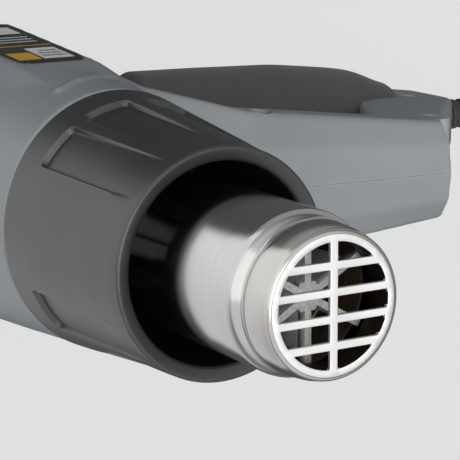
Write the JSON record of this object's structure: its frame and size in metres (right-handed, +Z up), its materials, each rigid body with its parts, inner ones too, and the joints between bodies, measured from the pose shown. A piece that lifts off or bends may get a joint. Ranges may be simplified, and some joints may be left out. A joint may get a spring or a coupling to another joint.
{
  "type": "heat gun",
  "caption": "Mains heat gun with a closed D-shaped handle, pocketed black guard sleeve and steel nozzle with a barred outlet, standing on its flat rear end, cord coiled behind.",
  "frame": {"origin": "on the flat rear rest face, where the nozzle's axis meets it", "axes": "+Z up along the nozzle's axis to its outlet, -X towards the handle and cord, -Y towards the side with the label"},
  "size_m": [0.4, 0.11, 0.25],
  "materials": {
    "grey_plastic": "moulded grey plastic with a soft satin sheen",
    "soft_grip": "matte dark soft cover",
    "black_plastic": "heat-resistant black plastic, satin",
    "dark_plastic": "dark moulded plastic",
    "nozzle_steel": "bright stainless tube",
    "grille_steel": "pale satin stamped steel",
    "heater_ceramic": "grey fired ceramic",
    "wire_metal": "oxidised resistance wire",
    "mica": "dark brown mica sheet",
    "motor_steel": "plated steel",
    "brass": "sintered bearing metal",
    "board": "green circuit board",
    "label": "printed film label, plain blocks",
    "screw_steel": "zinc-plated steel",
    "pale_plastic": "pale moulded plastic",
    "lead_plastic": "insulated wire",
    "cord_rubber": "matte black flexible cord and moulded plug",
    "pin_metal": "nickel-plated plug pins"
  },
  "bodies": {
    "housing": {"housing_label_side": "grey_plastic", "housing_plain_side": "grey_plastic", "grip_label_side": "soft_grip", "grip_plain_side": "soft_grip", "nozzle_tube": "nozzle_steel", "nozzle_flange": "nozzle_steel", "outlet_grille": "grille_steel", "element_star": "heater_ceramic", "element_core": "heater_ceramic", "heating_coil": "wire_metal", "mica_sleeve": "mica", "element_root": "heater_ceramic", "thermal_cutout": "motor_steel", "sleeve_carrier": "black_plastic", "rear_cap": "dark_plastic", "motor_can": "motor_steel", "motor_end_bell": "black_plastic", "motor_bushes": "brass", "motor_mount": "dark_plastic", "rectifier_board": "board", "switch_body": "black_plastic", "label_plate": "label", "housing_screws": "screw_steel", "terminal_block": "pale_plastic", "internal_leads": "lead_plastic", "cord_clamp": "black_plastic", "clamp_screws": "screw_steel", "strain_relief": "cord_rubber", "cord": "cord_rubber", "cord_coil": "cord_rubber", "cord_tail": "cord_rubber", "plug_body": "cord_rubber", "plug_pins": "pin_metal"},
    "sleeve": {"guard_sleeve": "black_plastic"},
    "rotor": {"motor_shaft": "motor_steel", "fan": "dark_plastic"},
    "slider": {"switch_slider": "black_plastic"}
  },
  "joints": [
    {"name": "sleeve_turn", "type": "hinge", "parent": "housing", "child": "sleeve", "pos_m": [0, 0, 0.1434], "axis": [0, 0, 1], "range_deg": [-25, 0]},
    {"name": "fan_spin", "type": "hinge", "parent": "housing", "child": "rotor", "pos_m": [0, 0, 0.081], "axis": [0, 0, 1], "continuous": true},
    {"name": "switch_slide", "type": "slide", "parent": "housing", "child": "slider", "axis": [1, 0, 0], "range_m": [0, 0.008]}
  ]
}
